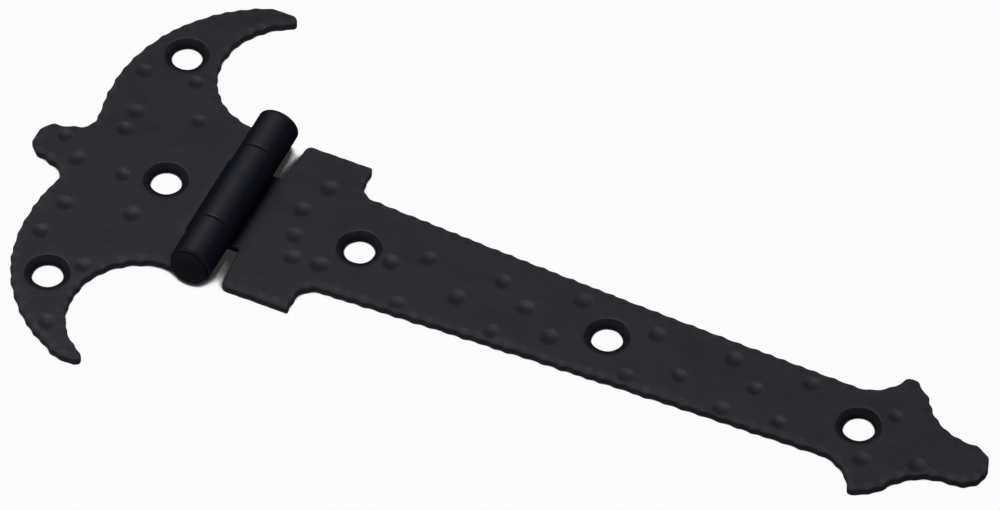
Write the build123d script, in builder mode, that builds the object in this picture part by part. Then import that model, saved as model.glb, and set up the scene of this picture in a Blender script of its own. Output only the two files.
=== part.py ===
from build123d import *

import math
import os

# A black strap hinge for a gate, a chest or a cupboard door.
# A crescent leaf is fixed to the frame, a long strap leaf to the door, and a headed pin joins them.
# Millimetres. Y is the pin's axis, X runs from the pin along the strap, and both backs lie at Z = 0.

# Sheet, pin and barrel
sheet = 1.3
pin_radius = 2.05
running_clearance = 0.05
barrel_length = 31.3
middle_knuckle = 15.4
joint_gap = 0.2
seam_gap = 0.25
head_radius = 3.1
head_height = 1.4
head_round = 0.8
rivet_radius = 2.6
rivet_height = 0.35

# Screw holes, countersunk from the face
hole_radius = 2.45
sink_radius = 3.5
sink_angle = 120

# Hammer marks, each a shallow hollow of flat facets
dent_radius = 1.4
dent_depth = 0.2
dent_sides = 10

# Crescent leaf, measured from the pin's axis and from the middle line
crescent_notch = 4.6
knuckle_flare = 0.4
tip_width = 1.9
crest_reach = 14.2
shoulder_reach = 21.7
back_reach = 28.0
root_reach = 27.0
root_height = 7.0
root_cove = 2.0
finial_reach = 34.2
finial_root_half = 3.9
finial_neck_half = 3.2
finial_round = 2.6
arm_hole_reach = 20.1
arm_hole_height = 24.3
centre_hole_reach = 11.8

# The two horns were cut by hand and differ a little
upper_tip_reach = 7.6
upper_arm_height = 38.7
upper_crest_height = 37.8
upper_shoulder_height = 31.8
upper_back_height = 16.5
upper_bay_height = 26.8
upper_bay_reach = 14.8
lower_tip_reach = 8.1
lower_arm_height = 38.1
lower_crest_height = 36.7
lower_shoulder_height = 31.4
lower_back_height = 14.3
lower_bay_height = 26.3
lower_bay_reach = 14.8

# Strap leaf, measured the same way
strap_notch = 4.5
notch_flare = 0.5
corner_round = 1.0
block_half = 15.5
block_end = 16.2
block_side = 12.6
cove_radius = 2.9
strap_neck_half = 6.9
upper_waist = 0.4
lower_waist = 0.3
neck_x = 100.0
barb_x = 107.6
barb_half = 11.7
barb_width = 1.9
barb_hollow = 1.1
tongue_half = 3.8
tongue_root_x = 115.1
tongue_rise = 0.1
strap_reach = 125.5
first_hole_x = 21.2
hole_pitch = 41.7

# Hammer marks on the crescent leaf, as shares of its back's reach and of its upper arm's height
crescent_dents = [
    (0.445, 0.333),
    (0.585, 0.513),
    (0.795, 0.273),
    (0.795, 0.173),
    (0.885, 0.483),
    (0.655, -0.047),
    (0.935, -0.047),
    (1.075, 0.043),
    (0.855, -0.277),
    (0.885, -0.447),
    (0.485, -0.217),
    (0.565, -0.537),
    (0.565, -0.857),
]

# Hammer marks on the strap's block, as shares of the block's end and half width
block_dents = [
    (0.730, 0.580),
    (0.610, 0.220),
    (0.680, -0.120),
    (0.780, -0.380),
    (1.050, -0.350),
]

# Hammer marks on the strap, as shares of its reach and of the half width where the cove ends
strap_dents = [
    (0.213, -0.050),
    (0.253, 0.270),
    (0.247, -0.770),
    (0.310, -0.270),
    (0.351, 0.330),
    (0.392, -0.010),
    (0.370, -0.670),
    (0.438, -0.390),
    (0.452, 0.500),
    (0.546, -0.600),
    (0.555, 0.360),
    (0.606, -0.250),
    (0.655, 0.410),
    (0.672, -0.590),
    (0.697, 0.000),
    (0.743, -0.460),
    (0.755, 0.460),
    (0.868, 0.410),
    (0.856, -0.590),
    (0.921, -0.350),
]

# Worked out from the sizes above
bore_radius = pin_radius + running_clearance
barrel_radius = bore_radius + sheet
axis_height = barrel_radius
barrel_half = barrel_length / 2
middle_half = middle_knuckle / 2
clear_half = middle_half + joint_gap
seam_angle = math.asin((barrel_radius - sheet - seam_gap) / barrel_radius)
strap_root_half = block_side - cove_radius
upper_heights = (
    upper_arm_height,
    upper_crest_height,
    upper_shoulder_height,
    upper_back_height,
    upper_bay_height,
)
lower_heights = (
    lower_arm_height,
    lower_crest_height,
    lower_shoulder_height,
    lower_back_height,
    lower_bay_height,
)
slant = math.sqrt(0.5)


def rolled_knuckle(side):
    """Draw a knuckle's section: from under the pin, up round it and back to its own leaf's face.

    side is 1 for a leaf that lies towards +X and -1 for one towards -X.
    """
    start = -math.pi / 2
    middle = math.pi / 4
    end = math.pi + seam_angle

    def at(radius, angle):
        return (-side * radius * math.cos(angle), axis_height + radius * math.sin(angle))

    with BuildLine() as outline:
        ThreePointArc(at(barrel_radius, start), at(barrel_radius, middle), at(barrel_radius, end))
        Line(at(barrel_radius, end), at(bore_radius, end))
        ThreePointArc(at(bore_radius, end), at(bore_radius, middle), at(bore_radius, start))
        Line(at(bore_radius, start), at(barrel_radius, start))
    return outline.edges()


def crescent_half(side, tip_reach, heights, bay_reach):
    """Draw one half of the crescent leaf, from the barrel round the horn to the finial's tip.

    side is 1 for the upper half and -1 for the lower. heights are those of the arm's top, its crest,
    its shoulder, the back's widest point and the bay's deepest point.
    """
    arm_height, crest_height, shoulder_height, back_height, bay_height = heights
    knuckle_side = (-crescent_notch, side * (barrel_half - knuckle_flare))
    bay = (-bay_reach, side * bay_height)
    tip_inside = (-tip_reach - tip_width * 0.4, side * (arm_height - tip_width))
    tip_end = (-tip_reach, side * (arm_height - tip_width / 2))
    tip_outside = (-tip_reach - tip_width * 0.8, side * arm_height)
    crest = (-crest_reach, side * crest_height)
    before_crest = (
        -(tip_reach + tip_width + crest_reach) / 2,
        side * ((arm_height + crest_height) / 2 + tip_width * 0.25),
    )
    shoulder = (-shoulder_reach, side * shoulder_height)
    back = (-back_reach, side * back_height)
    root = (-root_reach, side * root_height)
    above_root = (-(back_reach * 0.8 + root_reach * 0.2), side * (back_height + root_height) / 2)
    cove = (-root_reach - root_cove * 0.35, side * (finial_root_half + root_cove * 0.5))
    cove_end = (-root_reach - root_cove * 1.2, side * finial_root_half)
    neck = (finial_round * 1.1 - finial_reach, side * finial_neck_half)
    round_middle = (
        finial_round * (1 - slant) - finial_reach,
        side * (finial_neck_half - finial_round * (1 - slant)),
    )
    round_end = (-finial_reach, side * (finial_neck_half - finial_round))
    with BuildLine() as outline:
        Polyline((-crescent_notch, 0), (-crescent_notch, side * clear_half), (0, side * clear_half))
        Polyline((0, side * clear_half), (0, side * barrel_half), knuckle_side)
        ThreePointArc(knuckle_side, bay, tip_inside)
        ThreePointArc(tip_inside, tip_end, tip_outside)
        ThreePointArc(tip_outside, before_crest, crest)
        ThreePointArc(crest, shoulder, back)
        ThreePointArc(back, above_root, root)
        ThreePointArc(root, cove, cove_end)
        Line(cove_end, neck)
        ThreePointArc(neck, round_middle, round_end)
        Polyline(round_end, (-finial_reach, 0), (-crescent_notch, 0))
    return outline.edges()


def strap_half(side, waist):
    """Draw one half of the strap leaf, from the middle knuckle round the arrow head to its tongue.

    side is 1 for the upper half and -1 for the lower. waist is how far the long edge is hollowed.
    """
    flare_x = strap_notch + notch_flare
    notch_top = (flare_x, side * (block_half - corner_round))
    corner = (flare_x + corner_round * (1 - slant), side * (block_half - corner_round * (1 - slant)))
    corner_end = (flare_x + corner_round, side * block_half)
    cove_start = (block_end, side * block_side)
    cove = (block_end + cove_radius * (1 - slant), side * (block_side - cove_radius * slant))
    cove_end = (block_end + cove_radius, side * strap_root_half)
    middle = ((cove_end[0] + neck_x) / 2, side * ((strap_root_half + strap_neck_half) / 2 - waist))
    neck = (neck_x, side * strap_neck_half)
    hollow = (
        (neck_x + barb_x) / 2 + barb_hollow * 1.2,
        side * ((strap_neck_half + barb_half) / 2 - barb_hollow),
    )
    barb_inside = (barb_x, side * (barb_half - 0.1))
    barb_top = (barb_x + barb_width / 2, side * (barb_half + 0.15))
    barb_outside = (barb_x + barb_width, side * (barb_half - 0.3))
    barb_front = (barb_x + barb_width * 2.3, side * (barb_half - 2.1))
    tongue_root = (tongue_root_x, side * (tongue_half + 2) + tongue_rise / 2)
    tongue_side = (strap_reach - tongue_half, side * tongue_half + tongue_rise)
    tongue_round = (
        strap_reach - tongue_half * (1 - slant),
        side * tongue_half * slant + tongue_rise,
    )
    tongue_tip = (strap_reach, tongue_rise)
    with BuildLine() as outline:
        Polyline((0, 0), (0, side * middle_half), (strap_notch, side * middle_half), notch_top)
        ThreePointArc(notch_top, corner, corner_end)
        Polyline(corner_end, (block_end, side * block_half), cove_start)
        ThreePointArc(cove_start, cove, cove_end)
        ThreePointArc(cove_end, middle, neck)
        ThreePointArc(neck, hollow, barb_inside)
        ThreePointArc(barb_inside, barb_top, barb_outside)
        Line(barb_outside, barb_front)
        ThreePointArc(barb_front, tongue_root, tongue_side)
        ThreePointArc(tongue_side, tongue_round, tongue_tip)
        Polyline(tongue_tip, (barb_x, 0), (0, 0))
    return outline.edges()


# The hollow that a hammer mark leaves: steep at its rim and nearly flat at its floor
with BuildPart() as hammer_mark:
    for share, depth in ((0.45, 1), (0.85, 0.6), (1, 0)):
        with BuildSketch(Plane.XY.offset(-depth * dent_depth)):
            RegularPolygon(share * dent_radius, dent_sides)
    loft(ruled=True)

# Crescent leaf: a horned plate with its two outer knuckles rolled round the pin
with BuildPart() as crescent_leaf:
    with BuildSketch(Plane.XY):
        make_face(crescent_half(1, upper_tip_reach, upper_heights, upper_bay_reach))
        make_face(crescent_half(-1, lower_tip_reach, lower_heights, lower_bay_reach))
    extrude(amount=sheet)
    for side in (1, -1):
        with BuildSketch(Plane.XZ.offset(-side * clear_half)):
            make_face(rolled_knuckle(-1))
        extrude(amount=-side * (barrel_half - clear_half))
    with Locations(
        (-arm_hole_reach, arm_hole_height, sheet),
        (-arm_hole_reach, -arm_hole_height, sheet),
        (-centre_hole_reach, 0, sheet),
    ):
        CounterSinkHole(hole_radius, sink_radius, depth=sheet, counter_sink_angle=sink_angle)
    with Locations(*[(-u * back_reach, v * upper_arm_height, sheet) for u, v in crescent_dents]):
        add(hammer_mark.part, mode=Mode.SUBTRACT)

# Strap leaf: a block with the middle knuckle, a tapering strap and an arrow head
with BuildPart() as strap_leaf:
    with BuildSketch(Plane.XY):
        make_face(strap_half(1, upper_waist))
        make_face(strap_half(-1, lower_waist))
    extrude(amount=sheet)
    with BuildSketch(Plane.XZ.offset(-middle_half)):
        make_face(rolled_knuckle(1))
    extrude(amount=middle_knuckle)
    with Locations(*[(first_hole_x + n * hole_pitch, 0, sheet) for n in range(3)]):
        CounterSinkHole(hole_radius, sink_radius, depth=sheet, counter_sink_angle=sink_angle)
    with Locations(
        *[(u * block_end, v * block_half, sheet) for u, v in block_dents],
        *[(u * strap_reach, v * strap_root_half, sheet) for u, v in strap_dents],
    ):
        add(hammer_mark.part, mode=Mode.SUBTRACT)

# Hinge pin: a round head at the lower end of the barrel and a low riveted end at the upper
with BuildPart() as hinge_pin:
    lower_end = Plane((0, -barrel_half, axis_height), z_dir=(0, -1, 0))
    upper_end = Plane((0, barrel_half, axis_height), z_dir=(0, 1, 0))
    with BuildSketch(lower_end):
        Circle(pin_radius)
    extrude(amount=-barrel_length)
    with BuildSketch(lower_end):
        Circle(head_radius)
    extrude(amount=head_height)
    fillet(hinge_pin.edges().group_by(Axis.Y)[0], head_round)
    with BuildSketch(upper_end):
        Circle(rivet_radius)
    extrude(amount=rivet_height)
    chamfer(hinge_pin.edges().group_by(Axis.Y)[-1], rivet_height * 0.8)

os.makedirs("parts", exist_ok=True)
crescent_leaf.part.label = "crescent_leaf"
export_step(crescent_leaf.part, "parts/crescent_leaf.step")
strap_leaf.part.label = "strap_leaf"
export_step(strap_leaf.part, "parts/strap_leaf.step")
hinge_pin.part.label = "hinge_pin"
export_step(hinge_pin.part, "parts/hinge_pin.step")
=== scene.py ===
"""A beaten black strap hinge, lying face up on white under a soft studio light.

Lengths in the classes below are millimetres, as on a maker's drawing. Y is the pin's axis, X runs
from the pin along the strap, and both leaves' backs lie at Z = 0. Meshes are written in metres.
"""

import logging
import math
from dataclasses import dataclass
from enum import Enum

import bpy
import numpy as np
from mathutils import Matrix, Vector
from mathutils.geometry import delaunay_2d_cdt

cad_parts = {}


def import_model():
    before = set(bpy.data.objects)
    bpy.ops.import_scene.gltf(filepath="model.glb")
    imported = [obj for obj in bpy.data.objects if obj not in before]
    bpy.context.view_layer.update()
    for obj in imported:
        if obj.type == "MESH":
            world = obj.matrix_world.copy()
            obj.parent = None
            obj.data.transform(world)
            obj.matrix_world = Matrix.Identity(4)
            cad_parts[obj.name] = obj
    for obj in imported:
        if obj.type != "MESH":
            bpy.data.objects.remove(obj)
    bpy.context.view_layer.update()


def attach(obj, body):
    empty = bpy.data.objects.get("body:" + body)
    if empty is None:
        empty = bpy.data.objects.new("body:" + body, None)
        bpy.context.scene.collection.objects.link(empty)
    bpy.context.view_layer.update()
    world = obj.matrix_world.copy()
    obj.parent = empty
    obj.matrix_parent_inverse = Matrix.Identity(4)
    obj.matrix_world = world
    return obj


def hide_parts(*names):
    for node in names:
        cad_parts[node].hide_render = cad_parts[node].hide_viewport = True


MM = 0.001
SLANT = math.sqrt(0.5)  # the sine and the cosine of 45 degrees
TURN_OVER = (1, -1)  # turns a drawing over about the X axis
SAME_POINT = 1e-9  # two outline points closer than this are one
BLOCK = 3000  # how many points are compared with an outline at once
log = logging.getLogger("hinge")


class Lie(Enum):
    """The way a leaf lies from the pin."""

    FRAME = -1
    DOOR = 1


class Coat(Enum):
    """Which of a leaf's three paints a face wears: the face's own, a lighter cut-edge copy that is
    painted light, and a darker sink copy that is painted shade.
    """

    FACE = 0
    CUT = 1
    SINK = 2


# ---------------------------------------------------------------- drawing in the plane


def arc(start: tuple, middle: tuple, end: tuple, step: float = 0.1) -> np.ndarray:
    """Sample the circle through three points, from the first to just before the last.

    The centre is the point as far from all three. The angle runs evenly from start to end, on the
    side on which the middle point lies.

    Args:
        start, middle, end: points on the arc, in order.
        step: distance between samples.

    Returns:
        Points, one row each.
    """
    a, b, c = (np.asarray(p, float) for p in (start, middle, end))
    p, q = b - a, c - a
    turn = 2 * (p[0] * q[1] - p[1] * q[0])
    pp, qq = p @ p, q @ q
    centre = a + np.array([q[1] * pp - p[1] * qq, p[0] * qq - q[0] * pp]) / turn
    radius = math.dist(a, centre)
    first = math.atan2(*(a - centre)[::-1])
    last = math.atan2(*(c - centre)[::-1])
    sweep = (last - first) % math.tau if turn > 0 else -((first - last) % math.tau)
    count = max(2, math.ceil(abs(sweep) * radius / step))
    angles = first + sweep * np.arange(count) / count
    return centre + radius * np.column_stack([np.cos(angles), np.sin(angles)])


def straight(*corners: tuple, step: float = 0.1) -> np.ndarray:
    """Sample straight runs through corners, from the first to just before the last.

    Args:
        corners: the points joined by straight runs.
        step: distance between samples.

    Returns:
        Points, one row each.
    """
    runs = []
    for a, b in zip(corners, corners[1:]):
        count = max(1, math.ceil(math.dist(a, b) / step))
        share = np.arange(count)[:, None] / count
        runs.append(np.asarray(a, float) * (1 - share) + np.asarray(b, float) * share)
    return np.vstack(runs)


def even_loop(points: np.ndarray, step: float) -> np.ndarray:
    """Sample a closed loop again at equal steps, by its length along the loop.

    Args:
        points: the loop, its last point not repeated.
        step: distance between samples.

    Returns:
        The loop's new points.
    """
    closed = np.vstack([points, points[:1]])
    runs = np.linalg.norm(np.diff(closed, axis=0), axis=1)
    closed = closed[np.concatenate([[True], runs > SAME_POINT])]
    along = np.concatenate([[0], np.cumsum(np.linalg.norm(np.diff(closed, axis=0), axis=1))])
    wanted = np.linspace(0, along[-1], round(along[-1] / step), endpoint=False)
    return np.column_stack([np.interp(wanted, along, closed[:, k]) for k in (0, 1)])


def soften(loop: np.ndarray, reach: int) -> np.ndarray:
    """Ease a loop's corners: each point becomes the mean of its neighbours up to reach away."""
    return np.mean([np.roll(loop, k, axis=0) for k in range(-reach, reach + 1)], axis=0)


def outward(loop: np.ndarray) -> np.ndarray:
    """Give a loop's outward normals: its direction at each point, turned right by a quarter.

    Args:
        loop: the loop, counterclockwise.

    Returns:
        The normals, one unit long.
    """
    along = np.roll(loop, -1, axis=0) - np.roll(loop, 1, axis=0)
    normals = np.column_stack([along[:, 1], -along[:, 0]])
    return normals / np.linalg.norm(normals, axis=1, keepdims=True)


def nearest(points: np.ndarray, targets: np.ndarray) -> np.ndarray:
    """Give each point's distance to the nearest target, in blocks that fit in memory."""
    blocks = np.array_split(points, max(1, len(points) // BLOCK))
    return np.concatenate(
        [np.sqrt(((b[:, None] - targets[None]) ** 2).sum(2).min(1)) for b in blocks]
    )


def inside(points: np.ndarray, loop: np.ndarray) -> np.ndarray:
    """Tell which points lie in a loop: a ray towards +X crosses it an odd number of times.

    Args:
        points: the points.
        loop: the loop, its last point not repeated.

    Returns:
        Whether each point lies inside.
    """
    a, b = loop, np.roll(loop, -1, axis=0)
    rise = np.where(b[:, 1] == a[:, 1], 1e-12, b[:, 1] - a[:, 1])
    answers = []
    for block in np.array_split(points, max(1, len(points) // BLOCK)):
        x, y = block[:, :1], block[:, 1:]
        spans = (a[:, 1] > y) != (b[:, 1] > y)
        crossing = a[:, 0] + (y - a[:, 1]) * (b[:, 0] - a[:, 0]) / rise
        answers.append((spans & (x < crossing)).sum(1) % 2 == 1)
    return np.concatenate(answers)


def hex_grid(low: np.ndarray, high: np.ndarray, step: float) -> np.ndarray:
    """Fill a rectangle with points in rows, each row half a step along from the one before.

    Args:
        low, high: the rectangle's corners.
        step: the distance between neighbours.

    Returns:
        The points.
    """
    x = np.arange(low[0], high[0] + step, step)
    y = np.arange(low[1], high[1] + step, step * math.sqrt(3) / 2)
    across, up = np.meshgrid(x, y)
    across = across + (np.arange(len(y)) % 2)[:, None] * step / 2
    return np.column_stack([across.ravel(), up.ravel()])


def triangulate(loop: np.ndarray, holes: list, extra: np.ndarray) -> np.ndarray:
    """Join a loop, its holes and points between them into triangles.

    Each edge of the loop and the holes is kept, and the rest is the Delaunay joining, in which no
    triangle's circle holds another point. Triangles outside the loop or in a hole are dropped.

    Args:
        loop: the outer loop.
        holes: the loops of the holes.
        extra: the points between them.

    Returns:
        Triangles, counterclockwise, as rows of indices into loop, holes and extra in one list.
    """
    rings = [loop, *holes]
    points = np.vstack([*rings, extra])
    starts = np.cumsum([0] + [len(r) for r in rings])
    edges = np.vstack(
        [
            np.column_stack([np.arange(len(r)), np.roll(np.arange(len(r)), -1)]) + s
            for r, s in zip(rings, starts)
        ]
    )
    merge_within = 1e-7
    spots, _, triangles, sources, *_ = delaunay_2d_cdt(
        points.tolist(), edges.tolist(), [], 0, merge_within
    )
    places = np.array([list(spot) for spot in spots])
    source = np.array([ids[0] if ids else -1 for ids in sources])
    triangles = np.array(triangles)
    centres = places[triangles].mean(1)
    keep = inside(centres, loop)
    for hole in holes:
        keep &= ~inside(centres, hole)
    triangles = source[triangles[keep]]
    crossed = (triangles < 0).any(1)
    if crossed.any():
        log.warning("an outline crosses itself: %d triangles left out", crossed.sum())
        triangles = triangles[~crossed]
    a, b, c = (points[triangles[:, k]] for k in range(3))
    area = (b - a)[:, 0] * (c - a)[:, 1] - (b - a)[:, 1] * (c - a)[:, 0]
    return np.where((area > 0)[:, None], triangles, triangles[:, ::-1])


def ring_walls(rings: int, around: int, start: int) -> np.ndarray:
    """Join rings of points, stored one after another, with quads from each ring to the next.

    Args:
        rings: how many rings there are.
        around: how many points each has.
        start: the index of the first ring's first point.

    Returns:
        Quads, one row each. They face right of the rings' direction, with the first ring on top.
    """
    ring = np.arange(rings - 1)[:, None] * around + start
    i = np.arange(around)[None]
    j = (i + 1) % around
    after = ring + around
    return np.stack([ring + i, after + i, after + j, ring + j], axis=2).reshape(-1, 4)


def put(name: str, data: bpy.types.ID) -> bpy.types.Object:
    """Make an object and link it to the scene.

    Args:
        name: its name.
        data: its mesh, lamp or camera.

    Returns:
        The object.
    """
    made = bpy.data.objects.new(name, data)
    bpy.context.scene.collection.objects.link(made)
    return made


def build_piece(
    name: str, points: np.ndarray, faces: list, coats: list, masks: dict
) -> bpy.types.Object:
    """Make a mesh object from arrays, its place in its mesh.

    Args:
        name: the object's name.
        points: its points, in millimetres.
        faces: arrays of faces, triangles or quads.
        coats: for each array of faces, the number of its material slot.
        masks: values between 0 and 1, one for each point, by the name that the materials read.

    Returns:
        The object, linked to the scene.
    """
    mesh = bpy.data.meshes.new(name)
    mesh.from_pydata((points * MM).tolist(), [], [f for block in faces for f in block.tolist()])
    slots = np.concatenate([np.full(len(block), coat) for block, coat in zip(faces, coats)])
    mesh.polygons.foreach_set("material_index", slots.astype(np.int32))
    mesh.polygons.foreach_set("use_smooth", np.ones(len(slots), bool))
    for mask, values in masks.items():
        layer = mesh.attributes.new(mask, "FLOAT", "POINT")
        layer.data.foreach_set("value", values.astype(np.float32))
    mesh.update()
    log.info("%s: %d triangles", name, sum(len(f) * (f.shape[1] - 2) for f in faces))
    return put(name, mesh)


# ---------------------------------------------------------------- what both leaves share


@dataclass(frozen=True)
class Barrel:
    """The rolled barrel: one strip of sheet from each leaf, bent round the pin.

    The values from crown_tilt on say where painted shade makes its paint matt: on the barrel's
    sides and at its two ends. The tilt is in degrees.
    """

    sheet: float = 1.3
    bore_radius: float = 2.1
    length: float = 31.3
    middle_knuckle: float = 15.4
    joint_gap: float = 0.2
    seam_gap: float = 0.25
    crown_tilt: float = 5.0
    side_start: float = 0.95
    side_fade: float = 0.14
    end_reach: float = 0.7
    end_fade: float = 0.35
    end_painted_shade: float = 0.8
    flat_reach: float = 0.4

    @property
    def outer_radius(self) -> float:
        """The barrel's outer radius, which is the height of its axis too."""
        return self.bore_radius + self.sheet

    @property
    def middle_radius(self) -> float:
        """The radius halfway through the rolled sheet, where its length stays the same."""
        return self.bore_radius + self.sheet / 2

    @property
    def strip(self) -> float:
        """The flat length of a knuckle's strip: its turn, times the radius halfway through it."""
        turn = 1.5 * math.pi + math.asin((self.bore_radius - self.seam_gap) / self.outer_radius)
        return turn * self.middle_radius

    def roll(self, points: np.ndarray, lie: Lie) -> tuple:
        """Give each point's distance past the pin's axis, and the angle that it is rolled through.

        The angle is the distance over the middle radius.

        Args:
            points: points of the flat blank.
            lie: the way the leaf lies from the pin.

        Returns:
            The distances, none below 0, and the angles.
        """
        past = np.maximum(0, -lie.value * points[:, 0])
        return past, past / self.middle_radius

    def wrap(self, points: np.ndarray, lie: Lie) -> np.ndarray:
        """Roll what lies past the pin's axis round the pin.

        A point comes to lie at the outer radius less its height above the back, at the angle that
        it is rolled through.

        Args:
            points: points of the flat blank.
            lie: the way the leaf lies from the pin.

        Returns:
            The rolled points.
        """
        past, angle = self.roll(points, lie)
        radius = self.outer_radius - points[:, 2]
        rolled = np.column_stack(
            [
                -lie.value * radius * np.sin(angle),
                points[:, 1],
                self.outer_radius - radius * np.cos(angle),
            ]
        )
        return np.where((past > 0)[:, None], rolled, points)

    def painted_side_shade(self, points: np.ndarray, lie: Lie) -> np.ndarray:
        """Tell how much painted shade dulls the paint on the barrel's sides and at its two ends.

        Args:
            points: points of the flat blank.
            lie: the way the leaf lies from the pin.

        Returns:
            A value from 0 to 1. It rises as the rolled sheet turns away from the crown, which
            leans a little towards the door, and towards the barrel's two ends.
        """
        past, angle = self.roll(points, lie)
        from_crown = np.cos(angle - lie.value * math.radians(self.crown_tilt))
        side = np.clip((self.side_start + from_crown) / self.side_fade, 0, 1)
        to_end = np.abs(points[:, 1]) - self.length / 2 + self.end_reach
        end = np.clip(to_end / self.end_fade, 0, 1)
        return np.maximum(side, self.end_painted_shade * end) * (past > self.flat_reach)


@dataclass(frozen=True)
class ScrewHole:
    """A countersunk screw hole through the sheet."""

    x: float
    y: float
    radius: float = 2.45
    sink_radius: float = 3.5
    sink_angle: float = 120
    lip: float = 0.12
    foot: float = 0.3
    back_round: float = 0.1
    uneven: float = 0.008
    around: int = 80

    def profile(self, sheet: float) -> np.ndarray:
        """Give the hole's section from the face to the back, as rows of radius and height share."""
        slope = 1 / math.tan(math.radians(self.sink_angle / 2))
        floor = sheet - (self.sink_radius - self.radius) * slope
        sink_lip = [
            (self.sink_radius + self.lip, sheet),
            (self.sink_radius + self.lip * 0.45, sheet - self.lip * 0.12),
            (self.sink_radius, sheet - self.lip * 0.4),
            (self.sink_radius - self.lip, sheet - self.lip * (0.4 + slope * 0.8)),
        ]
        sink_foot = [
            (self.radius + self.foot, floor + self.foot * slope),
            (self.radius + 0.05, floor + 0.03),
            (self.radius, floor - 0.08),
        ]
        back_lip = [
            (self.radius, self.back_round),
            (self.radius + self.back_round * 0.3, self.back_round * 0.3),
            (self.radius + self.back_round, 0.0),
        ]
        return np.array(sink_lip + sink_foot + back_lip) / np.array([1.0, sheet])

    def rings(self, sheet: float, rng: np.random.Generator) -> tuple:
        """Carry the section round the hole, clockwise seen from the face.

        The radius is the section's, and swells and shrinks a little with slow waves round the hole,
        as a punched and drilled hole's does.

        Args:
            sheet: the sheet's thickness.
            rng: the source of the waves' phases.

        Returns:
            The rings' plane points, shaped (rings, around, 2), and the rings' height shares, one
            row each.
        """
        section = self.profile(sheet)
        turn = -math.tau * np.arange(self.around) / self.around
        lobes = (2, 3, 5)
        phases = rng.uniform(0, math.tau, len(lobes))
        wave = 1 + self.uneven * sum(np.cos(n * turn + p) for n, p in zip(lobes, phases))
        radius = section[:, 0][:, None] * wave[None]
        plane = np.stack([self.x + radius * np.cos(turn), self.y + radius * np.sin(turn)], axis=2)
        return plane, section[:, 1:]


@dataclass(frozen=True)
class HammerMarks:
    """Round hollows struck into a leaf's face. Painted shade makes the paint a little duller in
    them, to darken them.

    Each mark's size, strength, oval and turn lie between least and most.
    """

    places: tuple
    radius: float = 1.5
    depth: float = 0.14
    # dull is the strength of the painted shade in the marks, as lost gloss
    dull: float = 0.2
    least: tuple = (0.9, 0.85, 0.88, 0)
    most: tuple = (1.12, 1.1, 1.0, math.pi)
    seed: int = 1

    def depth_at(self, xy: np.ndarray) -> np.ndarray:
        """Work out how deep the face is struck at each point.

        A mark is a bowl: its depth falls as one less the squared distance over its radius, to the
        power of one and a half, so it meets the face softly. Marks differ a little in size, in
        depth and in how oval they are.

        Args:
            xy: points of the flat blank.

        Returns:
            The depth at each point.
        """
        rng = np.random.default_rng(self.seed)
        total = np.zeros(len(xy))
        for x, y in self.places:
            size, strength, oval, turn = rng.uniform(self.least, self.most)
            offset = xy - (x, y)
            along = (offset[:, 0] * math.cos(turn) + offset[:, 1] * math.sin(turn)) / oval
            across = offset[:, 1] * math.cos(turn) - offset[:, 0] * math.sin(turn)
            share = (along**2 + across**2) / (self.radius * size) ** 2
            bowl = np.clip(1 - share, 0, 1) ** 1.5
            total = np.maximum(total, self.depth * strength * bowl)
        return total

    def dulled(self, xy: np.ndarray) -> np.ndarray:
        """Tell how much painted shade dulls the paint in the marks: fully so from two fifths of
        their depth on.
        """
        return self.dull * np.clip(self.depth_at(xy) / self.depth * 2.5, 0, 1)


@dataclass(frozen=True)
class BeatenRim:
    """The row of hammer blows round a leaf's edge."""

    spacing: float = 2.6
    gap_range: tuple = (0.72, 1.28)
    force_range: tuple = (0.55, 1.0)
    swell: float = 0.3
    swell_width: float = 0.27
    blow_radius: float = 0.85
    blow_depth: float = 0.1
    blow_inset: float = 0.25
    seed: int = 5

    def blows(self, loop: np.ndarray, step: float, free: np.ndarray) -> tuple:
        """Choose where the blows fall: unevenly spaced, and only where the edge is free.

        Args:
            loop: the leaf's outline.
            step: the distance between its points.
            free: how free each point is, from 0 to 1.

        Returns:
            The places of the blows, as lengths along the loop, and their strengths.
        """
        rng = np.random.default_rng(self.seed)
        length = len(loop) * step
        gaps = rng.uniform(*self.gap_range, round(length / self.spacing))
        places = np.cumsum(gaps) / gaps.sum() * length
        strength = rng.uniform(*self.force_range, len(places))
        return places, strength * free[(places / step).astype(int) % len(loop)]

    def swelling(
        self, loop: np.ndarray, step: float, places: np.ndarray, strength: np.ndarray
    ) -> np.ndarray:
        """Work out how far the blows drive the edge outwards: each by a bell curve along it.

        Args:
            loop: the leaf's outline.
            step: the distance between its points.
            places: the places of the blows, as lengths along the loop.
            strength: how hard each blow is.

        Returns:
            The push at each point, less its mean, so that the leaf keeps its size.
        """
        length = len(loop) * step
        along = np.arange(len(loop))[:, None] * step
        away = np.abs(along - places[None])
        away = np.minimum(away, length - away)
        width = self.spacing * self.swell_width
        push = (strength * np.exp(-((away / width) ** 2))).sum(1)
        return self.swell * (push - push.mean())

    def depth_at(self, xy: np.ndarray, centres: np.ndarray, strength: np.ndarray) -> np.ndarray:
        """Work out how deep the blows leave the face: each is a bell curve round its centre."""
        squared = ((xy[:, None] - centres[None]) ** 2).sum(2)
        return self.blow_depth * (strength * np.exp(-squared / self.blow_radius**2)).max(1)


@dataclass
class Piece:
    """A piece of the hinge: its object's name, its body, the node it stands for and its finish."""

    name: str
    body: str
    node: str
    slot: str

    def build(self) -> bpy.types.Object:
        """Build the piece, without materials."""
        raise NotImplementedError

    def dress(self, paints: list) -> None:
        """Build the piece, paint it and let it take its node's place.

        Args:
            paints: its materials, in the order in which its faces number them.
        """
        piece = self.build()
        for paint in paints:
            piece.data.materials.append(paint)
        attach(piece, self.body)
        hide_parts(self.node)


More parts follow.
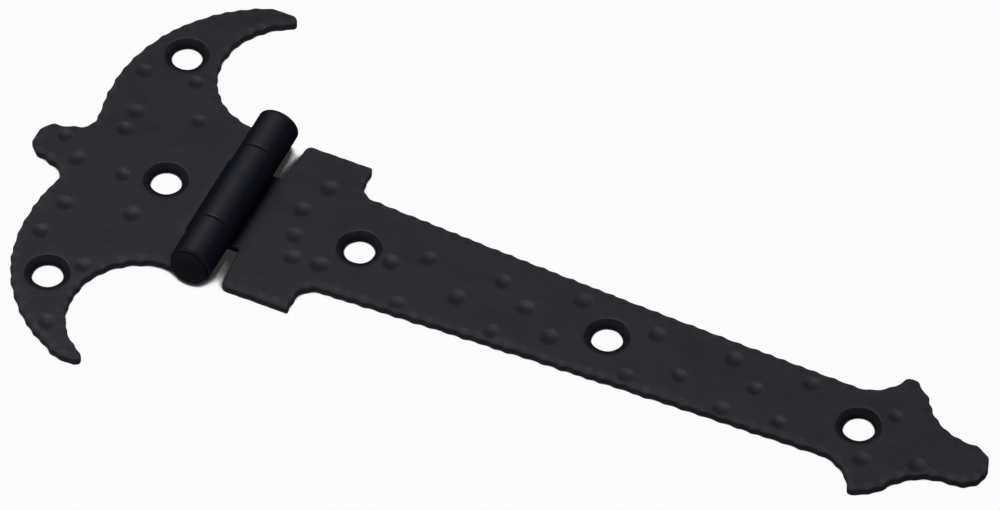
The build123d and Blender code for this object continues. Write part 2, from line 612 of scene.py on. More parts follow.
@dataclass
class Leaf(Piece):
    """A leaf cut from sheet as a flat blank, struck on its face and rolled round the pin.

    Its limit holds the lowest and the highest X and Y that the outline may reach.
    """

    barrel: Barrel
    lie: Lie
    holes: list
    marks: HammerMarks
    rim: BeatenRim
    limit: tuple
    draw_step: float = 0.08
    corner_reach: int = 5
    step: float = 0.24
    face_grid: float = 0.3
    face_roll_grid: float = 0.5
    back_grid: float = 0.9
    back_roll_grid: float = 0.26
    roll_start: float = -0.15
    clearance: float = 0.14
    waves: int = 9
    wave_lengths: tuple = (5, 13)
    wave_height: float = 0.0013
    paint_allowance: float = 0.018
    face_round: float = 0.22
    back_round: float = 0.12
    end_round: float = 0.55
    joint_round: float = 0.1
    face_rings: int = 6
    seed: int = 11

    def outline(self) -> np.ndarray:
        """Draw the blank's outline, counterclockwise."""
        raise NotImplementedError

    def free_edge(self, loop: np.ndarray) -> np.ndarray:
        """Tell how far each point of the outline is free to be beaten, from 0 to 1."""
        raise NotImplementedError

    def ease(self, loop: np.ndarray) -> np.ndarray:
        """Give the rounding of the face's edge at each point of the outline.

        It is plain round the leaf, wide at the barrel's two worn ends and narrow where two knuckles
        meet. Between them it changes over about a millimetre.

        Args:
            loop: the outline.

        Returns:
            The rounding's radius at each point.
        """
        past = -self.lie.value * loop[:, 0]
        rolled = np.clip(past + 1, 0, 1) * np.clip((self.barrel.strip - 1.2 - past) / 1.5, 0, 1)
        end = np.clip((np.abs(loop[:, 1]) - self.barrel.length / 2 + 1.2) / 0.8, 0, 1)
        wanted = self.end_round * end + self.joint_round * (1 - end)
        return self.face_round * (1 - rolled) + wanted * rolled

    def edge_profile(self, loop: np.ndarray) -> tuple:
        """Give the edge's section from face to back: a quarter round, a wall and a smaller round.

        Args:
            loop: the outline.

        Returns:
            The distance in from the edge and the share of the sheet's height, one row for each
            ring of the section and one column for each point of the outline.
        """
        sheet, under = self.barrel.sheet, self.back_round
        over = self.ease(loop)[None]
        face_turn = np.radians([0, 18, 36, 54, 72, 90])[:, None]
        back_turn = np.radians([0, 45, 90])[:, None]
        flat = np.zeros_like(over)
        inset = [over + 0.06, over * (1 - np.sin(face_turn)), flat]
        inset += [under * (1 - np.cos(back_turn)) + flat]
        height = [flat + sheet, sheet - over * (1 - np.cos(face_turn)), flat + sheet * 0.45]
        height += [under * (1 - np.sin(back_turn)) + flat]
        return np.vstack(inset), np.vstack(height) / sheet

    def face_height(self, xy: np.ndarray, centres: np.ndarray, strength: np.ndarray) -> np.ndarray:
        """Work out the height of the face: the sheet, less how deep it is struck or sags there.

        It sags by slow waves that run in many directions. Each is as high as the wave height times
        its length, over the square root of their number.

        Args:
            xy: points of the flat blank.
            centres: where the blows of the rim fall.
            strength: how hard each of them is.

        Returns:
            The height at each point.
        """
        rng = np.random.default_rng(self.seed)
        shortest, longest = self.wave_lengths
        total = np.zeros(len(xy))
        for _ in range(self.waves):
            size, turn, phase = rng.uniform((shortest, 0, 0), (longest, math.pi, math.tau))
            across = xy[:, 0] * math.cos(turn) + xy[:, 1] * math.sin(turn)
            total += np.sin(math.tau * across / size + phase) * size
        sag = self.paint_allowance + self.wave_height * total / math.sqrt(self.waves)
        depth = self.marks.depth_at(xy) + sag
        return self.barrel.sheet - np.maximum(depth, self.rim.depth_at(xy, centres, strength))

    def grid(self, loop: np.ndarray, holes: list, flat: float, rolled: float) -> np.ndarray:
        """Spread points over the blank, at one step on the flat and at another on the roll.

        Args:
            loop: the outline of the area.
            holes: the loops of its holes.
            flat: the step on the flat.
            rolled: the step on the rolled strips.

        Returns:
            The points that lie inside, clear of the loops.
        """
        low, high = loop.min(0), loop.max(0)
        parts = []
        for step, is_rolled in ((flat, False), (rolled, True)):
            points = hex_grid(low, high, step)
            past = -self.lie.value * points[:, 0]
            before = self.roll_start - step * 0.5
            points = points[(past > self.roll_start) if is_rolled else (past <= before)]
            points = points[inside(points, loop)]
            edges = np.vstack([loop, *holes])
            clear = nearest(points, edges) > max(0.55 * step, self.clearance)
            for hole in holes:
                clear &= ~inside(points, hole)
            parts.append(points[clear])
        return np.vstack(parts)

    def beat_outline(self) -> tuple:
        """Draw the outline at even steps and drive its free edge outwards at each blow.

        Returns:
            The outline, and the centres and the strengths of the blows, which fall a little
            inside it.
        """
        drawn = soften(even_loop(self.outline(), self.draw_step), self.corner_reach)
        loop = even_loop(drawn, self.step)
        free = self.free_edge(loop)
        places, strength = self.rim.blows(loop, self.step, free)
        push = self.rim.swelling(loop, self.step, places, strength) * free
        loop = np.clip(loop + outward(loop) * push[:, None], *self.limit)
        struck = (places / self.step).astype(int) % len(loop)
        return loop, (loop - outward(loop) * self.rim.blow_inset)[struck], strength

    def masks(
        self, loop: np.ndarray, plane: np.ndarray, share: np.ndarray, points: np.ndarray
    ) -> dict:
        """Work out where the paint is thin or worn, and where painted shade makes it matt.

        Args:
            loop: the outline.
            plane: the points' places on the blank.
            share: their shares of the face's height.
            points: the blank's points.

        Returns:
            The masks, from 0 to 1, by name. The rim fades with the distance from the outline and
            towards the back, and up each sink's wall it grows: painted shade, darkest at the sink's
            foot.
        """
        rim_width, sink_foot = 0.5, 0.62
        near_edge = np.exp(-nearest(plane, loop) / rim_width) * np.clip(share * 3 - 1, 0, 1)
        # painted shade in the sinks: the lighter thin colour grows up each sink's wall, so the foot
        # stays darkest
        up_sink = np.clip((share - sink_foot) / (1 - sink_foot), 0, 1) * (share < 0.999)
        # painted shade in the hammer marks, on the face only
        struck = self.marks.dulled(plane) * (share > 0.9)
        return {
            "rim": np.maximum(near_edge, up_sink),
            # painted shade: gloss taken off the barrel's sides and ends, and in the hammer marks
            "matt": np.maximum(self.barrel.painted_side_shade(points, self.lie), struck),
        }

    def build(self) -> bpy.types.Object:
        """Build the leaf: edge, holes, face and back as one closed skin, then roll it.

        The edge's section is carried along the outline, and each hole's section round the hole. A
        point's height is its share of the face's height above it.

        Returns:
            The leaf's object, without materials.
        """
        rng = np.random.default_rng(self.seed)
        loop, centres, strength = self.beat_outline()
        inset, edge_share = self.edge_profile(loop)
        edge = loop[None] - outward(loop)[None] * inset[:, :, None]
        hole_sets = [hole.rings(self.barrel.sheet, rng) for hole in self.holes]
        face_holes = [rings[0] for rings, _ in hole_sets]
        back_holes = [rings[-1] for rings, _ in hole_sets]
        face_grid = self.grid(edge[0], face_holes, self.face_grid, self.face_roll_grid)
        back_grid = self.grid(edge[-1], back_holes, self.back_grid, self.back_roll_grid)

        plane, share, tops, bottoms, walls, count = [], [], [], [], [], 0
        for rings, shares in [(edge, edge_share), *hole_sets]:
            rows, around = rings.shape[:2]
            plane.append(rings.reshape(-1, 2))
            share.append(np.broadcast_to(shares, (rows, around)).ravel())
            walls.append(ring_walls(rows, around, count))
            tops.append(count + np.arange(around))
            bottoms.append(count + (rows - 1) * around + np.arange(around))
            count += rows * around
        plane = np.vstack([*plane, face_grid, back_grid])
        share = np.concatenate([*share, np.ones(len(face_grid)), np.zeros(len(back_grid))])
        tops = np.concatenate([*tops, count + np.arange(len(face_grid))])
        count += len(face_grid)
        bottoms = np.concatenate([*bottoms, count + np.arange(len(back_grid))])
        face = tops[triangulate(edge[0], face_holes, face_grid)]
        back = bottoms[triangulate(edge[-1], back_holes, back_grid)][:, ::-1]

        height = self.face_height(plane, centres, strength)
        points = np.column_stack([plane, share * height])
        faces, coats = [face, back], [Coat.FACE.value, Coat.FACE.value]
        # The cut walls wear the lighter copy of the paint, painted light; the sinks the darker one,
        # painted shade.
        painted = [self.face_rings * len(loop)] + [hole.around for hole in self.holes]
        below = [Coat.CUT.value] + [Coat.SINK.value] * len(self.holes)
        for wall, split, coat in zip(walls, painted, below):
            faces += [wall[:split], wall[split:]]
            coats += [Coat.FACE.value, coat]
        rolled = self.barrel.wrap(points, self.lie)
        return build_piece(self.name, rolled, faces, coats, self.masks(loop, plane, share, points))


@dataclass(frozen=True)
class Horn:
    """One horn's reaches from the pin, and its heights above the hinge's middle line."""

    tip_reach: float
    arm: float
    crest: float
    shoulder: float
    back: float
    bay: float
    bay_reach: float


@dataclass
class CrescentLeaf(Leaf):
    """The horned leaf that is screwed to the frame, with the two outer knuckles."""

    notch: float = 4.6
    knuckle_flare: float = 0.4
    tip_width: float = 1.9
    crest_reach: float = 14.2
    shoulder_reach: float = 21.7
    back_reach: float = 28.0
    root: tuple = (27.0, 7.0)
    root_cove: float = 2.0
    finial_reach: float = 34.2
    finial_root_half: float = 3.9
    finial_neck_half: float = 3.2
    finial_round: float = 2.6
    upper: Horn = Horn(7.6, 38.7, 37.8, 31.8, 16.5, 26.8, 14.8)
    lower: Horn = Horn(8.1, 38.1, 36.7, 31.4, 14.3, 26.3, 14.8)

    def half(self, horn: Horn) -> np.ndarray:
        """Draw one half from the notch round its knuckle's strip and its horn to the finial's tip.

        Args:
            horn: the half's horn.

        Returns:
            The half's points, in order, drawn as the upper one.
        """
        half_length = self.barrel.length / 2
        clear = self.barrel.middle_knuckle / 2 + self.barrel.joint_gap
        strip = self.barrel.strip
        knuckle = (-self.notch, half_length - self.knuckle_flare)
        tip_inside = (-horn.tip_reach - self.tip_width * 0.4, horn.arm - self.tip_width)
        tip_end = (-horn.tip_reach, horn.arm - self.tip_width / 2)
        tip_outside = (-horn.tip_reach - self.tip_width * 0.8, horn.arm)
        before_crest = (
            -(horn.tip_reach + self.tip_width + self.crest_reach) / 2,
            (horn.arm + horn.crest) / 2 + self.tip_width * 0.25,
        )
        crest = (-self.crest_reach, horn.crest)
        back = (-self.back_reach, horn.back)
        root_reach, root_height = self.root
        root = (-root_reach, root_height)
        above_root = (-(self.back_reach * 0.8 + root_reach * 0.2), (horn.back + root_height) / 2)
        cove = (-root_reach - self.root_cove * 0.35, self.finial_root_half + self.root_cove * 0.5)
        cove_end = (-root_reach - self.root_cove * 1.2, self.finial_root_half)
        neck = (self.finial_round * 1.1 - self.finial_reach, self.finial_neck_half)
        cut = self.finial_round * (1 - SLANT)
        round_middle = (cut - self.finial_reach, self.finial_neck_half - cut)
        round_end = (-self.finial_reach, self.finial_neck_half - self.finial_round)
        return np.vstack(
            [
                straight((-self.notch, 0), (-self.notch, clear), (strip, clear)),
                straight((strip, clear), (strip, half_length), (0, half_length), knuckle),
                arc(knuckle, (-horn.bay_reach, horn.bay), tip_inside),
                arc(tip_inside, tip_end, tip_outside),
                arc(tip_outside, before_crest, crest),
                arc(crest, (-self.shoulder_reach, horn.shoulder), back),
                arc(back, above_root, root),
                arc(root, cove, cove_end),
                straight(cove_end, neck),
                arc(neck, round_middle, round_end),
                straight(round_end, (-self.finial_reach, 0)),
            ]
        )

    def outline(self) -> np.ndarray:
        """Draw the upper half, then the lower half turned over and backwards."""
        return np.vstack([self.half(self.upper), self.half(self.lower)[::-1] * TURN_OVER])

    def free_edge(self, loop: np.ndarray) -> np.ndarray:
        """Beat the edge only beyond the barrel's reach: nothing within the notch's distance."""
        return np.clip((-loop[:, 0] - self.notch - 0.3) / 1.5, 0, 1)


@dataclass
class StrapLeaf(Leaf):
    """The long leaf that is screwed to the door, with the middle knuckle and an arrow head."""

    notch: float = 4.5
    notch_flare: float = 0.5
    corner_round: float = 1.0
    block_half: float = 15.5
    block_end: float = 16.2
    block_side: float = 12.6
    cove_radius: float = 2.9
    neck_half: float = 6.9
    upper_waist: float = 0.4
    lower_waist: float = 0.3
    neck_x: float = 100.0
    barb_x: float = 107.6
    barb_half: float = 11.7
    barb_width: float = 1.9
    barb_hollow: float = 1.1
    tongue_half: float = 3.8
    tongue_root_x: float = 115.1
    tongue_rise: float = 0.1
    reach: float = 125.5

    def half(self, waist: float, rise: float) -> np.ndarray:
        """Draw one half from the knuckle's strip round the block, the strap and the arrow head.

        Args:
            waist: how far the strap's long edge is hollowed.
            rise: how far the tongue lies off the middle line, towards this half.

        Returns:
            The half's points, in order from the strip's end to the tongue's tip, drawn as the
            upper one.
        """
        middle = self.barrel.middle_knuckle / 2
        strip = self.barrel.strip
        flare_x = self.notch + self.notch_flare
        cut = self.corner_round * (1 - SLANT)
        notch_top = (flare_x, self.block_half - self.corner_round)
        corner = (flare_x + cut, self.block_half - cut)
        corner_end = (flare_x + self.corner_round, self.block_half)
        cove_start = (self.block_end, self.block_side)
        cove = (
            self.block_end + self.cove_radius * (1 - SLANT),
            self.block_side - self.cove_radius * SLANT,
        )
        cove_end = (self.block_end + self.cove_radius, self.block_side - self.cove_radius)
        neck = (self.neck_x, self.neck_half)
        long_middle = ((cove_end[0] + neck[0]) / 2, (cove_end[1] + neck[1]) / 2 - waist)
        hollow = (
            (self.neck_x + self.barb_x) / 2 + self.barb_hollow * 1.2,
            (self.neck_half + self.barb_half) / 2 - self.barb_hollow,
        )
        barb_inside = (self.barb_x, self.barb_half - 0.1)
        barb_top = (self.barb_x + self.barb_width / 2, self.barb_half + 0.15)
        barb_outside = (self.barb_x + self.barb_width, self.barb_half - 0.3)
        barb_front = (self.barb_x + self.barb_width * 2.3, self.barb_half - 2.1)
        tongue_root = (self.tongue_root_x, self.tongue_half + 2 + rise / 2)
        tongue_side = (self.reach - self.tongue_half, self.tongue_half + rise)
        tongue_round = (
            self.reach - self.tongue_half * (1 - SLANT),
            self.tongue_half * SLANT + rise,
        )
        return np.vstack(
            [
                straight((-strip, 0), (-strip, middle), (self.notch, middle), notch_top),
                arc(notch_top, corner, corner_end),
                straight(corner_end, (self.block_end, self.block_half), cove_start),
                arc(cove_start, cove, cove_end),
                arc(cove_end, long_middle, neck),
                arc(neck, hollow, barb_inside),
                arc(barb_inside, barb_top, barb_outside),
                straight(barb_outside, barb_front),
                arc(barb_front, tongue_root, tongue_side),
                arc(tongue_side, tongue_round, (self.reach, rise)),
            ]
        )

    def outline(self) -> np.ndarray:
        """Draw the lower half turned over, the tip, then the upper half backwards.

        Returns:
            The outline, counterclockwise.
        """
        lower = self.half(self.lower_waist, -self.tongue_rise) * TURN_OVER
        upper = self.half(self.upper_waist, self.tongue_rise)[::-1]
        return np.vstack([lower, (self.reach, self.tongue_rise), upper])

    def free_edge(self, loop: np.ndarray) -> np.ndarray:
        """Beat the edge only beyond the notch beside the barrel."""
        return np.clip((loop[:, 0] - self.notch - self.notch_flare) / 1.5, 0, 1)


@dataclass
class HingePin(Piece):
    """The headed pin through the barrel, riveted over at its upper end."""

    barrel: Barrel
    radius: float = 2.05
    head_radius: float = 3.1
    head_height: float = 1.4
    head_round: float = 0.8
    head_swell: float = 0.16
    rivet_radius: float = 2.6
    rivet_height: float = 0.35
    wobble: float = 0.012
    around: int = 96

    def section(self) -> np.ndarray:
        """Give the pin's section from the middle of its head to the middle of its riveted end.

        The head's edge is a quarter round, and its top swells towards the middle as a shallow bowl
        turned over does.

        Returns:
            Rows of the radius and the place along the axis.
        """
        half = self.barrel.length / 2
        end = half + self.head_height
        flat = self.head_radius - self.head_round
        dome = np.linspace(0.02, 1, 9) * flat
        top = np.column_stack([dome, -end + self.head_swell * (dome / flat) ** 2])
        turn = np.radians(np.linspace(15, 90, 7))
        lip_height = self.head_round - self.head_swell * 0.3
        lip = np.column_stack(
            [
                flat + self.head_round * np.sin(turn),
                -end + self.head_swell + lip_height * (1 - np.cos(turn)),
            ]
        )
        shank = [
            (self.head_radius, -half - 0.12),
            (self.head_radius - 0.1, -half - 0.01),
            (self.radius + 0.02, -half),
            (self.radius, -half + 0.06),
            (self.radius, 0.0),
            (self.radius, half - 0.06),
            (self.radius + 0.02, half),
        ]
        rivet = [
            (self.rivet_radius - 0.06, half + 0.01),
            (self.rivet_radius, half + self.rivet_height * 0.2),
            (self.rivet_radius - 0.07, half + self.rivet_height * 0.55),
            (self.rivet_radius - 0.3, half + self.rivet_height * 0.84),
            (self.rivet_radius - 0.8, half + self.rivet_height * 0.96),
            (0.9, half + self.rivet_height),
            (0.05, half + self.rivet_height),
        ]
        return np.vstack([top, lip, shank, rivet])

    def build(self) -> bpy.types.Object:
        """Turn the section round the pin's axis, with the head's rim a little uneven, and cap it.

        Returns:
            The pin's object, without materials.
        """
        section = self.section()
        turn = math.tau * np.arange(self.around) / self.around
        waves = np.sin(3 * turn + 0.7) * 0.6 + np.sin(7 * turn) * 0.4
        uneven = 1 - self.wobble * (1 + waves)
        is_wide = section[:, :1] > 1.9
        radius = section[:, :1] * np.where(is_wide, uneven[None], 1)
        axis = self.barrel.outer_radius
        along = np.broadcast_to(section[:, 1:], radius.shape)
        ring = np.stack([radius * np.cos(turn), along, axis + radius * np.sin(turn)], axis=2)
        ring = ring.reshape(-1, 3)
        points = np.vstack([ring, [0, section[0, 1], axis], [0, section[-1, 1], axis]])
        rows = len(section)
        walls = ring_walls(rows, self.around, 0)[:, ::-1]
        i = np.arange(self.around)
        j = (i + 1) % self.around
        last = (rows - 1) * self.around
        first_cap = np.column_stack([i, j, np.full(self.around, len(ring))])
        last_cap = np.column_stack([last + j, last + i, np.full(self.around, len(ring) + 1)])
        no_wear_or_painted_shade = np.zeros(len(points))
        masks = {"rim": no_wear_or_painted_shade, "matt": no_wear_or_painted_shade}
        return build_piece(self.name, points, [walls, first_cap, last_cap], [0, 0, 0], masks)


# ---------------------------------------------------------------- finishes


Value = float | bpy.types.NodeSocket


class Nodes:
    """A node tree being wired up."""

    def __init__(self, tree: bpy.types.NodeTree) -> None:
        """Start from an empty tree."""
        self.tree = tree
        tree.nodes.clear()

    def add(self, kind: str, values: dict | None = None, **settings) -> bpy.types.Node:
        """Add a node.

        Args:
            kind: the node's type.
            values: what its input sockets hold, by name or by number.
            settings: its properties.

        Returns:
            The node.
        """
        node = self.tree.nodes.new(kind)
        for key, value in settings.items():
            setattr(node, key, value)
        for socket, value in (values or {}).items():
            node.inputs[socket].default_value = value
        return node

    def join(self, source: bpy.types.NodeSocket, target: bpy.types.NodeSocket) -> None:
        """Wire one socket to another."""
        self.tree.links.new(source, target)

    def math(self, operation: str, a: Value, b: Value) -> bpy.types.NodeSocket:
        """Add a sum on two numbers or sockets.

        Args:
            operation: the Math node's operation.
            a, b: numbers or sockets.

        Returns:
            The result's socket.
        """
        node = self.add("ShaderNodeMath", operation=operation)
        for number, value in enumerate((a, b)):
            if isinstance(value, bpy.types.NodeSocket):
                self.join(value, node.inputs[number])
            else:
                node.inputs[number].default_value = value
        return node.outputs[0]

    def blend(
        self,
        share: bpy.types.NodeSocket,
        first: bpy.types.NodeSocket,
        second: bpy.types.NodeSocket,
    ) -> bpy.types.NodeSocket:
        """Mix two shaders.

        Args:
            share: how much of the second there is, from 0 to 1.
            first, second: the shaders' sockets.

        Returns:
            The mixed shader's socket.
        """
        mix = self.add("ShaderNodeMixShader")
        for number, socket in enumerate((share, first, second)):
            self.join(socket, mix.inputs[number])
        return mix.outputs[0]

    def finish(self, shader: bpy.types.NodeSocket, kind: str = "ShaderNodeOutputMaterial") -> None:
        """Wire a shader to the tree's output."""
        self.join(shader, self.add(kind).inputs["Surface"])

    def noise(
        self, place: bpy.types.NodeSocket, scale: float, detail: float
    ) -> bpy.types.NodeSocket:
        """Add noise.

        Args:
            place: the socket that it reads its place from.
            scale: about how many lumps it has a metre.
            detail: how many finer layers it has.

        Returns:
            The socket of its value.
        """
        node = self.add("ShaderNodeTexNoise", {"Scale": scale, "Detail": detail})
        self.join(place, node.inputs["Vector"])
        return node.outputs["Fac"]


def new_group(name: str, inputs: dict, outputs: dict) -> tuple:
    """Make a shader node group with named sockets.

    Args:
        name: the group's name.
        inputs: its inputs' socket types, by name.
        outputs: its outputs' socket types, by name.

    Returns:
        The group's Nodes, its input node and its output node.
    """
    tree = bpy.data.node_groups.new(name, "ShaderNodeTree")
    for label, kind in inputs.items():
        tree.interface.new_socket(label, in_out="INPUT", socket_type=kind)
    for label, kind in outputs.items():
        tree.interface.new_socket(label, in_out="OUTPUT", socket_type=kind)
    nodes = Nodes(tree)
    return nodes, nodes.add("NodeGroupInput"), nodes.add("NodeGroupOutput")


class PaintEffects:
    """The effects that every paint on the hinge uses, each a node group built once.

    Each noise below is given by its lumps a metre and its detail.
    """

    ripples = (420, 2)
    pebbles = (2300, 3)
    patches = (120, 3)
    wear = (700, 2)
    gloss = (260, 3)

    def __init__(self) -> None:
        """Build the groups."""
        self.relief = self._relief()
        self.tone = self._tone()

    def _relief(self) -> bpy.types.NodeTree:
        """Build the paint's relief: slow ripples and a fine pebbled grain, each by its share.

        Returns:
            The group's tree.
        """
        floats = {name: "NodeSocketFloat" for name in ("Ripple", "Grain")}
        nodes, given, result = new_group(
            "paint_relief", {"Place": "NodeSocketVector", **floats}, {"Height": "NodeSocketFloat"}
        )
        ripple = nodes.noise(given.outputs["Place"], *self.ripples)
        grain = nodes.noise(given.outputs["Place"], *self.pebbles)
        total = nodes.math(
            "ADD",
            nodes.math("MULTIPLY", ripple, given.outputs["Ripple"]),
            nodes.math("MULTIPLY", grain, given.outputs["Grain"]),
        )
        nodes.join(total, result.inputs["Height"])
        return nodes.tree

    def _tone(self) -> bpy.types.NodeTree:
        """Build the paint's tone: a body colour, thin on worn and matt parts, with uneven gloss.

        The share of the thin colour is the worn rim, half of how matt the paint is, and half of
        what the slow patches rise over 0.35. Up the sinks' walls the rim is painted shade, and Matt
        is painted shade on the barrel and in the hammer marks. The roughness is the paint's own,
        0.35 more on the rim, and up to 0.08 more or less by an even noise.

        Returns:
            The group's tree.
        """
        floats = {name: "NodeSocketFloat" for name in ("Rim", "Matt", "Dull")}
        colours = {name: "NodeSocketColor" for name in ("Body", "Thin")}
        nodes, given, result = new_group(
            "paint_tone",
            {"Place": "NodeSocketVector", **colours, **floats},
            {"Color": "NodeSocketColor", "Roughness": "NodeSocketFloat"},
        )
        place, rim = given.outputs["Place"], given.outputs["Rim"]
        worn = nodes.math("MULTIPLY", rim, nodes.noise(place, *self.wear))
        thinned = nodes.math("ADD", worn, nodes.math("MULTIPLY", given.outputs["Matt"], 0.5))
        patchy = nodes.math("SUBTRACT", nodes.noise(place, *self.patches), 0.35)
        mix = nodes.add("ShaderNodeMix", data_type="RGBA", clamp_factor=True)
        nodes.join(
            nodes.math("ADD", thinned, nodes.math("MULTIPLY", patchy, 0.5)), mix.inputs["Factor"]
        )
        first_colour, second_colour, mixed = 6, 7, 2
        nodes.join(given.outputs["Body"], mix.inputs[first_colour])
        nodes.join(given.outputs["Thin"], mix.inputs[second_colour])
        nodes.join(mix.outputs[mixed], result.inputs["Color"])
        swing = nodes.math("SUBTRACT", nodes.noise(place, *self.gloss), 0.5)
        dulled = nodes.math("ADD", given.outputs["Dull"], nodes.math("MULTIPLY", rim, 0.35))
        rough = nodes.math("ADD", dulled, nodes.math("MULTIPLY", swing, 0.16))
        nodes.join(rough, result.inputs["Roughness"])
        return nodes.tree


@dataclass(frozen=True)
class Paint:
    """A black paint for one kind of surface; its cut-edge and sink copies carry painted light and
    painted shade.
    """

    name: str
    body: tuple
    thin: tuple
    dull: float
    specular: float
    ripple: float
    grain: float
    depth: float = 0.00006

    def material(self, effects: PaintEffects) -> bpy.types.Material:
        """Mix the paint.

        Args:
            effects: the groups that paints share.

        Returns:
            The material.
        """
        made = bpy.data.materials.new(self.name)
        made.use_nodes = True
        nodes = Nodes(made.node_tree)
        place = nodes.add("ShaderNodeTexCoord").outputs["Object"]
        tone = nodes.add("ShaderNodeGroup", node_tree=effects.tone)
        tone.inputs["Body"].default_value = (*self.body, 1)
        tone.inputs["Thin"].default_value = (*self.thin, 1)
        tone.inputs["Dull"].default_value = self.dull
        nodes.join(place, tone.inputs["Place"])
        masks = {
            name: nodes.add("ShaderNodeAttribute", attribute_name=name.lower()).outputs["Fac"]
            for name in ("Rim", "Matt")
        }
        for name, socket in masks.items():
            nodes.join(socket, tone.inputs[name])
        relief = nodes.add("ShaderNodeGroup", node_tree=effects.relief)
        relief.inputs["Ripple"].default_value = self.ripple
        relief.inputs["Grain"].default_value = self.grain
        nodes.join(place, relief.inputs["Place"])
        bump = nodes.add("ShaderNodeBump", {"Strength": 1.0, "Distance": self.depth})
        nodes.join(relief.outputs["Height"], bump.inputs["Height"])
        # Matt is painted shade: on the barrel's sides and ends and in the hammer marks it takes
        # gloss away.
        lost = nodes.math("MULTIPLY", masks["Matt"], -self.specular)
        shader = nodes.add("ShaderNodeBsdfPrincipled", {"IOR": 1.5})
        for source, target in (
            (nodes.math("ADD", lost, self.specular), "Specular IOR Level"),
            (tone.outputs["Color"], "Base Color"),
            (tone.outputs["Roughness"], "Roughness"),
            (bump.outputs["Normal"], "Normal"),
        ):
            nodes.join(source, shader.inputs[target])
        nodes.finish(shader.outputs["BSDF"])
        return made


FACE_PAINT = Paint(
    name="black_face_paint",
    body=(0.0075, 0.0083, 0.015),
    thin=(0.012, 0.013, 0.02),
    dull=0.4,
    specular=0.5,
    ripple=0.6,
    grain=0.12,
)
# A lighter copy of the face paint with little gloss: painted light on the cut walls, which the lamp
# barely reaches.
LIT_CUT_EDGE_PAINT = Paint(
    name="black_cut_edge_paint_painted_light",
    body=(0.015, 0.0155, 0.021),
    thin=(0.019, 0.0195, 0.026),
    dull=0.7,
    specular=0.2,
    ripple=0.5,
    grain=0.3,
)
# A darker copy of the face paint: painted shade in the countersinks, lighter up their walls by the
# rim mask.
SHADED_SINK_PAINT = Paint(
    name="black_sink_paint_painted_shade",
    body=(0.0035, 0.0037, 0.0065),
    thin=(0.028, 0.0295, 0.039),
    dull=0.7,
    specular=0.12,
    ripple=0.5,
    grain=0.3,
)
PIN_PAINT = Paint(
    name="black_pin_paint",
    body=(0.009, 0.0095, 0.013),
    thin=(0.011, 0.0115, 0.016),
    dull=0.75,
    specular=0.04,
    ripple=0.5,
    grain=0.15,
)


# ---------------------------------------------------------------- studio


